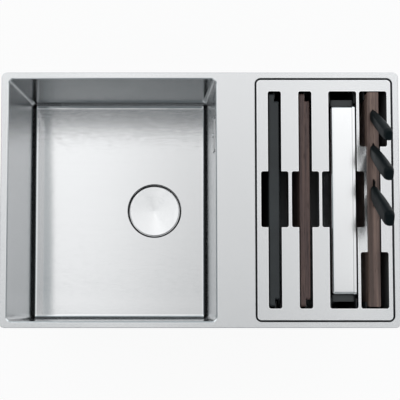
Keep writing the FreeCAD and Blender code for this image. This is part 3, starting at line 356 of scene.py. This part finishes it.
# %% Cut, bulged and folded sheet
def edge_painted_highlight(place, finish_of, radius):
    """Cut edges, broken with a buff; the lighter colour along them is a painted highlight."""
    edge_match, flat_match = 0.90, 0.995
    eased = Wire.node(place.tree, "ShaderNodeBevel", {}, {"Radius": radius})
    match = measure("DOT_PRODUCT", surface_normal(place), eased)
    edge = fading(match, edge_match, flat_match)
    finish_of["color"] = blend(edge, finish_of["color"], painted_highlight_color)


def bowed(place, finish_of, bow):
    """A long thin wall that bulges a little along Y."""
    along = part_of(place, "Y")
    finish_of["height"] = finish_of["height"] - along * along * bow


def rim_fold(place, finish_of, x):
    """A darker line painted where a pan's wall folds into its rim: painted shade in the fold."""
    fold_width, fold_share, fold_shade_color = 0.0011, 0.30, (0.30, 0.31, 0.32)
    off = part_of(place, "X") - x
    # painted shade: a dark line along the fold
    line = between(off.maths("ABSOLUTE", off), fold_width / 2, fold_width, fold_share, 0.0)
    finish_of["color"] = blend(line, finish_of["color"], fold_shade_color)


print("cut, bulged and folded sheet ready")

# %% [markdown]
# ## The sheet steel pieces
# Deck, panel, bowls and colander start as the same sheet, but each is finished in its own way. The
# deck and the panel keep the satin of the brush, the big bowl is polished further until it mirrors, and
# the compartment stays dull. Each could have a material of its own, written out in full. One function
# and a table with a row for each steel keep them a family instead.

# %% Steel for deck, panel, bowls and colander
opening_low, opening_high, opening_corner = (-0.336, -0.213), (0.028, 0.213), 0.008
# shares of painted shade on the big bowl's walls, side bends and end bends
wall_shade, side_bend_shade, end_bend_shade = 0.23, 0.90, 0.34
# the width of the painted highlight along the panel's cut edges
panel_edge = 0.003
pan_color, pan_bow, pan_fold_inset = (0.795, 0.805, 0.815), 0.2, 0.0046


def middle_of(name):
    """The middle of a piece's box."""
    return tuple((a + b) / 2 for a, b in zip(*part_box(name)))


pan_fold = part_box("colander_pan")[1].x - pan_fold_inset
deck_marks = [(rolled_lip, (opening_low, opening_high, opening_corner))]
panel_marks = [(edge_painted_highlight, panel_edge)]
bowl_marks = [
    (bowl_painted_shade, (wall_shade, side_bend_shade, end_bend_shade)),
    (dull_outside, middle_of("main_bowl")),
]
compartment_marks = [(dull_outside, middle_of("accessory_bowl"))]
pan_marks = [(bowed, pan_bow), (rim_fold, pan_fold)]

# each row: the name of a steel, its roughness, scatter, colour and marks, and the pieces made of it
steel_rows = [
    ("deck_steel", 0.22, 0.06, steel_color, deck_marks, ["deck_plate"]),
    ("panel_steel", 0.20, 0.06, steel_color, panel_marks, ["accessory_panel"]),
    ("bowl_steel", 0.03, 0.11, steel_color, bowl_marks, ["main_bowl", "overflow_faceplate"]),
    ("compartment_steel", 0.30, 0.05, steel_color, compartment_marks, ["accessory_bowl"]),
    ("colander_steel", 0.14, 0.03, pan_color, pan_marks, ["colander_pan"]),
]
for name, roughness, scatter, color, marks, pieces in steel_rows:
    finish(brushed_steel(name, roughness, scatter, color, marks), *pieces)
print("brushed steels:", [m.name for m in bpy.data.materials if m.name.endswith("_steel")])

# %% [markdown]
# ## The spun drain cover
# The drain cover was turned on a lathe while the abrasive moved outwards, so its grooves are circles
# and the light gathers in a bright fan on two sides. It is also very slightly dished, which makes one
# side of it lighter than the other. A painted fan would stay put when the light moves. A bump made
# from the distance to the cover's centre gives the fan and the dish from any side.

# %% Spun steel
spun_dark, spun_light = (0.82, 0.83, 0.84), (0.85, 0.86, 0.87)
spun_dullness, smear_dullness, smear_rate = 0.14, 0.05, 45.0


def spun_steel(name, node, groove_slope, dish_slope):
    """dish_slope is how much the cover is dished, from its rim to its middle."""
    material, place = start(name)
    flat = (place - middle_of(node)) * (1.0, 1.0, 0.0)
    distance = measure("LENGTH", flat)
    along_radius = Wire.node(place.tree, "ShaderNodeCombineXYZ", {}, {"X": distance})
    ring = noise(along_radius, groove_rate, detail=1.0)
    smear = noise(place, smear_rate)
    relief = ring * (groove_slope / groove_rate) + distance * dish_slope
    surface(
        place.tree,
        Base_Color=blend(smear, spun_dark, spun_light),
        Metallic=1.0,
        Roughness=spun_dullness + (smear - noise_middle) * smear_dullness,
        Normal=bumped(relief, reach=groove_reach),
    )
    return material


finish(spun_steel("spun_steel", "drain_cover", groove_slope=0.20, dish_slope=0.055), "drain_cover")
print("spun steel on the drain cover")

# %% [markdown]
# ## Polished steel
# Rivets, screws, blades and the strainer are polished: nearly mirrors with a few fine scratches. A
# perfect mirror would look like glass, so the roughness drifts a little and rises along the scratches.
# Next to its handle, a blade is darker and duller above a given level.

# %% The polished pieces
scratch_rates, scratch_depth = (900.0, 60.0, 900.0), 0.000004
scratch_edges, scratch_dullness = (0.55, 0.75), 0.12
cloud_rate, cloud_tint, cloud_dullness = 60.0, 0.94, 0.05
heel_color, heel_soft, heel_dullness = (0.010, 0.011, 0.012), 0.001, 0.3
heel_level = 0.005


def polished_steel(name, color, roughness, dark_above=None):
    """dark_above is the level over which a blade is darker and duller, next to its handle."""
    material, place = start(name)
    scratch = noise(place * scratch_rates, roughness=0.6)
    cloud = noise(place, cloud_rate)
    tone = blend(cloud, shaded(color, cloud_tint), color)
    scratched = between(scratch, *scratch_edges) * scratch_dullness
    dullness = roughness + scratched + (cloud - noise_middle) * cloud_dullness
    if dark_above:
        heel = between(part_of(place, "Z"), dark_above, dark_above + heel_soft)
        tone = blend(heel, tone, heel_color)
        dullness = dullness + heel * heel_dullness
    surface(
        place.tree,
        Base_Color=tone,
        Metallic=1.0,
        Roughness=dullness,
        Normal=bumped(scratch, scratch_depth),
    )
    return material


bright_color, spring_color, blade_color = (0.76, 0.77, 0.78), (0.58, 0.60, 0.61), (0.62, 0.63, 0.64)
bright_steel = polished_steel("bright_steel", bright_color, roughness=0.12)
spring_steel = polished_steel("spring_steel", spring_color, roughness=0.32)
blade_steel = polished_steel("blade_steel", blade_color, roughness=0.20, dark_above=heel_level)
finish(bright_steel, "strainer_flange", "strainer_basket", "waste_clamp_screw")
finish(bright_steel, "overflow_screw", "colander_rivets")
finish(blade_steel, "paring_knife_blade", "utility_knife_blade", "chef_knife_blade")
finish(spring_steel, "spring_clips", "clip_rivets")
print("pieces with a finish so far:", len(finished))

# %% [markdown]
# ## Boards and the knife block
# The dark board and the block are hardwood with the grain along their length. On the narrow edge that
# faces up, the grain shows as long fibres in two or three browns with short dark pores. Growth rings
# could be cut from a wave texture, but on an edge this narrow they are only soft bands, so noise that
# is drawn out along the board does it all. The black board is pressed paper and resin: plain, with a
# faint speckle and a sheen that varies where it has been handled.

# %% Wood
wander_rates, wander_width = (30.0, 3.0, 30.0), 0.012
fibre_rates, fibre_share, fibre_dullness, fibre_relief = (420.0, 7.0, 420.0), 0.4, 0.2, 0.5
ring_rates, ring_share = (120.0, 2.5, 120.0), 0.6
pore_rates, pore_edges, pore_tint, pore_dullness = (1500.0, 45.0, 1500.0), (0.62, 0.70), 0.7, 0.15
tone_edges, tone_stops = (0.36, 0.64), (0.0, 0.5, 1.0)
wood_dullness, wood_gloss, wood_relief = 0.46, 0.35, 0.00012


def oiled_wood(name, browns, pore):
    """Hardwood with its grain along Y. browns run from dark to light."""
    material, place = start(name)
    wander = noise(place * wander_rates) * wander_width
    bent = place + Wire.node(place.tree, "ShaderNodeCombineXYZ", {}, {"X": wander, "Z": wander})
    fibre = noise(bent * fibre_rates, detail=3.0, roughness=0.6)
    ring = noise(bent * ring_rates)
    pores = between(noise(bent * pore_rates, detail=1.0), *pore_edges)
    tone = between(ring * ring_share + fibre * fibre_share, *tone_edges)
    stops = list(zip(tone_stops, browns))
    grain = Wire.node(place.tree, "ShaderNodeValToRGB", {"stops": stops}, {"Fac": tone})
    surface(
        place.tree,
        Base_Color=blend(pores * pore_tint, grain, pore),
        Roughness=wood_dullness + (fibre - noise_middle) * fibre_dullness + pores * pore_dullness,
        Specular_IOR_Level=wood_gloss,
        Normal=bumped(fibre * fibre_relief - pores, wood_relief),
    )
    return material


board_browns = [(0.055, 0.035, 0.034), (0.095, 0.061, 0.057), (0.148, 0.093, 0.077)]
block_browns = [(0.092, 0.062, 0.053), (0.156, 0.105, 0.090), (0.238, 0.164, 0.136)]
board_pore, block_pore = (0.022, 0.013, 0.012), (0.040, 0.026, 0.022)
finish(oiled_wood("dark_wood", board_browns, board_pore), "wood_board")
finish(
    oiled_wood("brown_wood", block_browns, block_pore),
    "knife_block_left_half",
    "knife_block_right_half",
)
print("woods done, pieces with a finish so far:", len(finished))

# %% Black paper composite
paper_dark, paper_light = (0.019, 0.023, 0.025), (0.033, 0.038, 0.041)
speck_rate, paper_rates, haze_rate = 2600.0, (700.0, 90.0, 700.0), 22.0
speck_share, haze_share, mottle_edges = 0.6, 0.4, (0.35, 0.65)
paper_dullness, haze_dullness, paper_gloss = 0.42, 0.16, 0.38
speck_relief, paper_relief, paper_depth = 0.5, 0.5, 0.00004


def composite(name):
    """Pressed paper and resin."""
    material, place = start(name)
    speck = noise(place, speck_rate, detail=1.0)
    fibre = noise(place * paper_rates)
    haze = noise(place, haze_rate)
    mottle = between(speck * speck_share + haze * haze_share, *mottle_edges)
    surface(
        place.tree,
        Base_Color=blend(mottle, paper_dark, paper_light),
        Roughness=paper_dullness + (haze - noise_middle) * haze_dullness,
        Specular_IOR_Level=paper_gloss,
        Normal=bumped(speck * speck_relief + fibre * paper_relief, paper_depth),
    )
    return material


finish(composite("black_composite"), "black_board")
print("composite done, pieces with a finish so far:", len(finished))

# %% [markdown]
# ## Mouldings
# The tub, the combs, the handles and the pipes are moulded. A mould is etched with a fine texture so
# that fingerprints don't show, and the sheen varies where the piece has been handled. The etching is
# far too fine to model, so it is a shallow bump. Towards the foot of the tub the colour is paler in
# patches: painted light that lifts the dark pit.

# %% Moulded plastics
handled_rate, handled_dullness, handled_tints = 18.0, 0.16, (0.85, 1.15)
etch_rate, etch_depth, etch_dullness = 1500.0, 0.00003, 0.1
# painted light at the foot of the tub: its least share, and how much more it takes in patches
painted_light_least, painted_light_patches = 0.6, 0.4


def moulding(name, color, roughness, texture=etch_rate, relief=etch_depth, gloss=0.5, painted_light=None):
    """A moulded plastic, paler towards its foot where asked: painted light, given as a colour and the
    levels between which it fades out.
    """
    material, place = start(name)
    etch = noise(place, texture, roughness=0.6)
    handled = noise(place, handled_rate)
    tone = blend(handled, *(shaded(color, tint) for tint in handled_tints))
    # painted light: a paler colour towards the foot, in patches, lifting the dark pit
    if painted_light:
        painted_light_color, painted_light_foot, painted_light_top = painted_light
        painted_light_share = fading(part_of(place, "Z"), painted_light_foot, painted_light_top)
        tone = blend(painted_light_share * (painted_light_least + handled * painted_light_patches), tone, painted_light_color)
    handling = (handled - noise_middle) * handled_dullness
    surface(
        place.tree,
        Base_Color=tone,
        Roughness=roughness + handling + (etch - noise_middle) * etch_dullness,
        Specular_IOR_Level=gloss,
        Normal=bumped(etch, relief),
    )
    return material


# painted light: a paler colour towards the foot of the tub, and the levels between which it fades out
tub_painted_light = ((0.20, 0.22, 0.23), -0.172, -0.120)
tub_color, comb_color, grip_color = (0.20, 0.21, 0.215), (0.030, 0.034, 0.036), (0.040, 0.045, 0.047)
pipe_color, handle_color = (0.55, 0.56, 0.56), (0.0055, 0.0095, 0.0110)
tub_moulding = moulding("tub_moulding", tub_color, roughness=0.48, painted_light=tub_painted_light)
black_moulding = moulding("black_moulding", comb_color, roughness=0.48)
grip_moulding = moulding("grip_moulding", grip_color, roughness=0.45)
grey_moulding = moulding("grey_moulding", pipe_color, roughness=0.40, texture=900.0, relief=0.00001)
handle_black = moulding(
    "handle_black", handle_color, roughness=0.42, texture=1900.0, relief=0.00002, gloss=0.04
)
finish(tub_moulding, "organizer_tub")
finish(black_moulding, "guide_comb_rear", "guide_comb_front", "basket_knob")
finish(grip_moulding, "colander_handle_rear", "colander_handle_front")
finish(grey_moulding, "waste_body", "waste_outlet", "overflow_elbow", "overflow_pipe")
finish(grey_moulding, "accessory_waste", "accessory_waste_nut")
finish(handle_black, "paring_knife_handle", "utility_knife_handle", "chef_knife_handle")
print("mouldings done, pieces with a finish so far:", len(finished))

# %% [markdown]
# ## Handles that are kind to the hand
# A knife handle comes out of its mould with generous rounds, and years of washing soften them further.
# Edges could be rounded one by one, but a handle has many that meet at odd angles. It is easier to lay
# an even net of small squares over a copy of the solid and let every point of the net settle towards
# its neighbours: flat sides stay flat and the edges ease by a millimetre or two. The net is too coarse
# for the narrow slot that holds the tang and closes it, so the tang is hidden inside. The eased copy
# then stands for the plain handle and moves with its knife.

# %% Easing the knife handles
net_size, ease_steps, ease_share = 0.0013, 16, 0.5
for knife in ("paring", "utility", "chef"):
    plain_handle = nodes[f"{knife}_knife_handle"]
    handle = bpy.data.objects.new(f"{knife}_eased_handle", plain_handle.data.copy())
    bpy.context.scene.collection.objects.link(handle)
    net = handle.modifiers.new("even net", "REMESH")
    net.mode = "VOXEL"
    net.voxel_size = net_size
    net.use_smooth_shade = True
    ease = handle.modifiers.new("eased edges", "SMOOTH")
    ease.factor = ease_share
    ease.iterations = ease_steps
    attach(handle, f"{knife}_knife")
    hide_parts(f"{knife}_knife_handle")
print("handles eased with a net of", net_size * 1000, "mm")

# %% [markdown]
# ## Rubber, foam and pads
# What is left is rubber, foam and bitumen. Rubber is duller and greyer where it has dried, and foam has
# open cells at its cut edge, which is the same finish with a deeper relief. The sound-deadening pads
# are pressed with a diamond pattern. Two sine waves that cross give it without a picture of one.

# %% Rubber and foam
bloom_rate, dry_edges, dry_tint, dry_lift = 30.0, (0.45, 0.75), 1.5, 0.01
rubber_dullness, dry_dullness = 0.62, 0.2


def rubber(name, color, texture, relief):
    """Rubber or foam, greyer where it has dried."""
    material, place = start(name)
    grain = noise(place, texture, detail=3.0, roughness=0.65)
    bloom = noise(place, bloom_rate, detail=3.0)
    dry = between(bloom, *dry_edges)
    surface(
        place.tree,
        Base_Color=blend(dry, color, shaded(color, dry_tint, dry_lift)),
        Roughness=rubber_dullness + dry * dry_dullness,
        Normal=bumped(grain, relief),
    )
    return material


seal_rubber = rubber("seal_rubber", (0.012, 0.013, 0.014), texture=1200.0, relief=0.00003)
foam_seal = rubber("foam_seal", (0.05, 0.05, 0.052), texture=900.0, relief=0.0004)
finish(seal_rubber, "ledge_gasket", "strainer_upper_seal", "strainer_lower_seal", "overflow_seal")
finish(seal_rubber, "accessory_waste_seal", "accessory_waste_washer", "basket_stopper")
finish(seal_rubber, "knife_block_feet")
finish(foam_seal, "rim_seal")
print("rubber and foam done, pieces with a finish so far:", len(finished))

# %% Sound pads
diamond_pitch, diamond_depth, diamond_edges = 0.008, 0.0005, (-0.2, 0.5)
pad_dark, pad_light = (0.045, 0.045, 0.048), (0.10, 0.10, 0.105)
pad_rate, pad_relief, pad_dullness, grain_dullness = 600.0, 0.3, 0.60, 0.25


def pressed_pad(name):
    """Bitumen sheet with a pressed diamond pattern."""
    material, place = start(name)
    x, y, z = (part_of(place, axis) for axis in "XYZ")
    one_way = ((x + y + z) * (math.tau / diamond_pitch)).maths("SINE")
    other_way = ((x - y + z) * (math.tau / diamond_pitch)).maths("SINE")
    diamond = between(one_way * other_way, *diamond_edges)
    grain = noise(place, pad_rate, detail=3.0)
    surface(
        place.tree,
        Base_Color=blend(grain, pad_dark, pad_light),
        Roughness=pad_dullness + grain * grain_dullness,
        Normal=bumped(diamond + grain * pad_relief, diamond_depth),
    )
    return material


finish(pressed_pad("deadening_pad"), "sound_pads")
print("pieces with a finish:", len(finished), "of", len(nodes))

# %% [markdown]
# ## The studio
# A sink is lit by what it reflects. Over this one hangs a ceiling of bright panels with dark gaps
# between them, which the floor of the bowl and the steel panel mirror as soft stripes. The ceiling ends
# in front, so the bowl's rear wall reflects a darker room and turns slate grey. Such a room could be
# built from lamps, but each stripe would then be an object to place. Painted on the sky by direction,
# each is one row of numbers.

# %% Directions in the sky
world = bpy.data.worlds.new("studio")
bpy.context.scene.world = world
world.use_nodes = True
world.node_tree.nodes.clear()
least_rise = 0.05
direction = Wire.node(world.node_tree, "ShaderNodeTexCoord", output="Generated")
up = part_of(direction, "Z")
above = up.maths("MAXIMUM", up, least_rise)
across = part_of(direction, "X")
back = part_of(direction, "Y") / above
print("sky laid out by direction: across, back and up")


# %% The bright panels of the ceiling
def gap(low, high, soft):
    """1 between two places across the ceiling, 0 outside them."""
    return between(across, low - soft, low) * fading(across, high, high + soft)


def swell(middle, width):
    """A soft hump across the ceiling."""
    off = (across - middle) / width
    return off.maths("EXPONENT", off * off * -1)


# each row: where a gap starts and ends, how soft its edges are, and how much light it takes away
gap_rows = [
    (-0.200, -0.1475, 0.004, 0.51),
    (0.044, 0.064, 0.008, 0.18),
    (0.260, 0.308, 0.008, 0.56),
]
gaps = sum(gap(low, high, soft) * taken for low, high, soft, taken in gap_rows)
panel_level, glow_level, far_level = 1.02, 0.09, 0.20
dip = swell(middle=0.06, width=0.13) * between(back, low=0.0, high=0.28, first=0.28, last=0.25)
glow = swell(middle=-0.11, width=0.09) * glow_level
slope = between(back, low=-0.05, high=0.30, first=0.0, last=0.22)
far = between(across, low=0.20, high=0.26) * far_level
panels = (panel_level + slope - dip + glow + far) * (1 - gaps)
print("ceiling panels with", len(gap_rows), "gaps between them")

# %% Where the ceiling ends
corner_shade = 0.85
sides = between(across, low=-0.50, high=-0.38) * fading(across, low=0.40, high=0.46)
front_end = between(back, low=-0.70, high=-0.35)
rear_end = fading(back, low=0.48, high=0.85)
front_corner = fading(back, low=-0.25, high=-0.10) * fading(across, low=-0.17, high=-0.14)
front_dim = between(back, low=-0.29, high=-0.11, first=0.03, last=1.0)
front_fade = front_dim * front_end * (1 - front_corner * corner_shade)
ceiling = sides * front_fade * rear_end * panels
overhead = sides * front_end * rear_end
print("ceiling ends at its two sides, front and rear")

# %% The room round it and the pale horizon
room_tint, white = (0.88, 1.0, 1.05), (1.0, 1.0, 1.0)
wall_level, rear_wall_extra = 0.26, 0.27
dark_level, dark_rear_extra, dark_front_extra = 0.028, 0.50, 0.13
low_level, just_over_one = 0.45, 1.001
level_side = (just_over_one - up * up).maths("SQRT")
facing = part_of(direction, "Y") / level_side
behind = between(facing, low=0.35, high=0.8)
in_front = fading(facing, low=-0.8, high=-0.35)
walls_round = wall_level + behind * rear_wall_extra
dark_ceiling = dark_level + behind * dark_rear_extra + in_front * dark_front_extra
room = walls_round * (1 - overhead) + dark_ceiling * overhead
near_ground = fading(up, low=0.34, high=0.46)
horizon = fading(up, low=0.06, high=0.24)
ground_light = near_ground * low_level
level = ceiling + room * (1 - near_ground) + ground_light + horizon * (1 - ground_light)
lit = between(ceiling + near_ground + horizon, low=0.2, high=0.8)
sky_sockets = {"Color": blend(lit, room_tint, white), "Strength": level}
sky = Wire.node(world.node_tree, "ShaderNodeBackground", {}, sky_sockets)
Wire.node(world.node_tree, "ShaderNodeOutputWorld", {}, {"Surface": sky})
print("sky made of", len(world.node_tree.nodes), "nodes")

# %% [markdown]
# ## Lamps and floor
# Four large soft lamps in the corners of the room light the outside of the bowls and what stands in the
# slots, which the sky alone leaves flat. They are big and far away, so that no lamp draws a hard edge
# in the steel. The floor is a plain pale sheet. It shows white to the eye and in reflections, but to
# all other light it stays matt, so it still carries the sink's shadow.

# %% Corner lamps
lamp_reach, lamp_lift, lamp_side, lamp_power = 3.4, 3.4, 4.4, 42.0
for x in (-1, 1):
    for y in (-1, 1):
        lamp_data = bpy.data.lights.new("side_lamp", "AREA")
        lamp_data.shape = "SQUARE"
        lamp_data.size = lamp_side
        lamp_data.energy = lamp_power
        lamp = bpy.data.objects.new("side_lamp", lamp_data)
        lamp.location = (x * lamp_reach, y * lamp_reach, lamp_lift)
        to_sink = Vector((0.0, 0.0, 0.0)) - lamp.location
        lamp.rotation_euler = to_sink.to_track_quat("-Z", "Y").to_euler()
        bpy.context.scene.collection.objects.link(lamp)
print("lamps:", len(bpy.data.lights))

# %% Floor
floor_half, floor_drop = 40.0, 0.0005
floor_color, white_share = (0.90, 0.90, 0.90), 0.92
floor_level = solid_box[0].z - floor_drop
floor_mesh = bpy.data.meshes.new("studio_floor")
corner_signs = [(-1, -1), (1, -1), (1, 1), (-1, 1)]
corners = [(x * floor_half, y * floor_half, floor_level) for x, y in corner_signs]
floor_mesh.from_pydata(corners, [], [(0, 1, 2, 3)])
floor = bpy.data.objects.new("studio_floor", floor_mesh)
bpy.context.scene.collection.objects.link(floor)
print("floor at", round(floor_level, 4))

# %% Pale floor finish
material, place = start("pale_floor")
paths = ["Is Camera Ray", "Is Glossy Ray", "Is Transmission Ray"]
seen = sum(Wire.node(place.tree, "ShaderNodeLightPath", output=path) for path in paths)
share = seen.maths("MINIMUM", seen, 1.0) * white_share
matt = Wire.node(place.tree, "ShaderNodeBsdfDiffuse", {}, {"Color": floor_color})
plain_white = Wire.node(place.tree, "ShaderNodeEmission", {}, {"Color": white, "Strength": 1.0})
mixed = Wire.node(place.tree, "ShaderNodeMixShader", {}, {0: share, 1: matt, 2: plain_white})
Wire.node(place.tree, "ShaderNodeOutputMaterial", {}, {"Surface": mixed})
floor_mesh.materials.append(material)
print("floor shows white to", ", ".join(paths))

# %% [markdown]
# ## Camera
# The view is from 1.5 m above the deck and a little to the front, with the back of the camera nearly
# level. The camera could simply be tilted until the sink is in the middle, but then its sides would
# run together. A small lens shift moves the picture instead, so that they stay nearly upright. Light
# leaves the steel bowl only after many bounces from wall to wall, so more mirror bounces are allowed
# than usual; with few of them the corners go black.

# %% Lens and place
sensor_width, lens_length = 36.0, 77.5
lens_shift = (0.05, 0.13)
camera_rise, camera_place, aim_place = 1.5, (-0.036, -0.178), (-0.0349, -0.0927)
mirror_bounces = 12
camera_data = bpy.data.cameras.new("camera")
camera_data.sensor_width = sensor_width
camera_data.lens = lens_length
camera_data.shift_x, camera_data.shift_y = lens_shift
camera = bpy.data.objects.new("camera", camera_data)
bpy.context.scene.collection.objects.link(camera)
deck_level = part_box("deck_plate")[1].z
camera.location = (*camera_place, deck_level + camera_rise)
aim = Vector((*aim_place, deck_level))
forward = (aim - camera.location).normalized()
right = forward.cross(Vector((0.0, 1.0, 0.0))).normalized()
turn = Matrix((right, right.cross(forward), -forward)).transposed()
camera.rotation_mode = "QUATERNION"
camera.rotation_quaternion = turn.to_quaternion()
bpy.context.scene.camera = camera
bpy.context.scene.view_settings.view_transform = "Standard"
bpy.context.scene.cycles.glossy_bounces = mirror_bounces
print("camera", round((aim - camera.location).length, 3), "m from the deck")
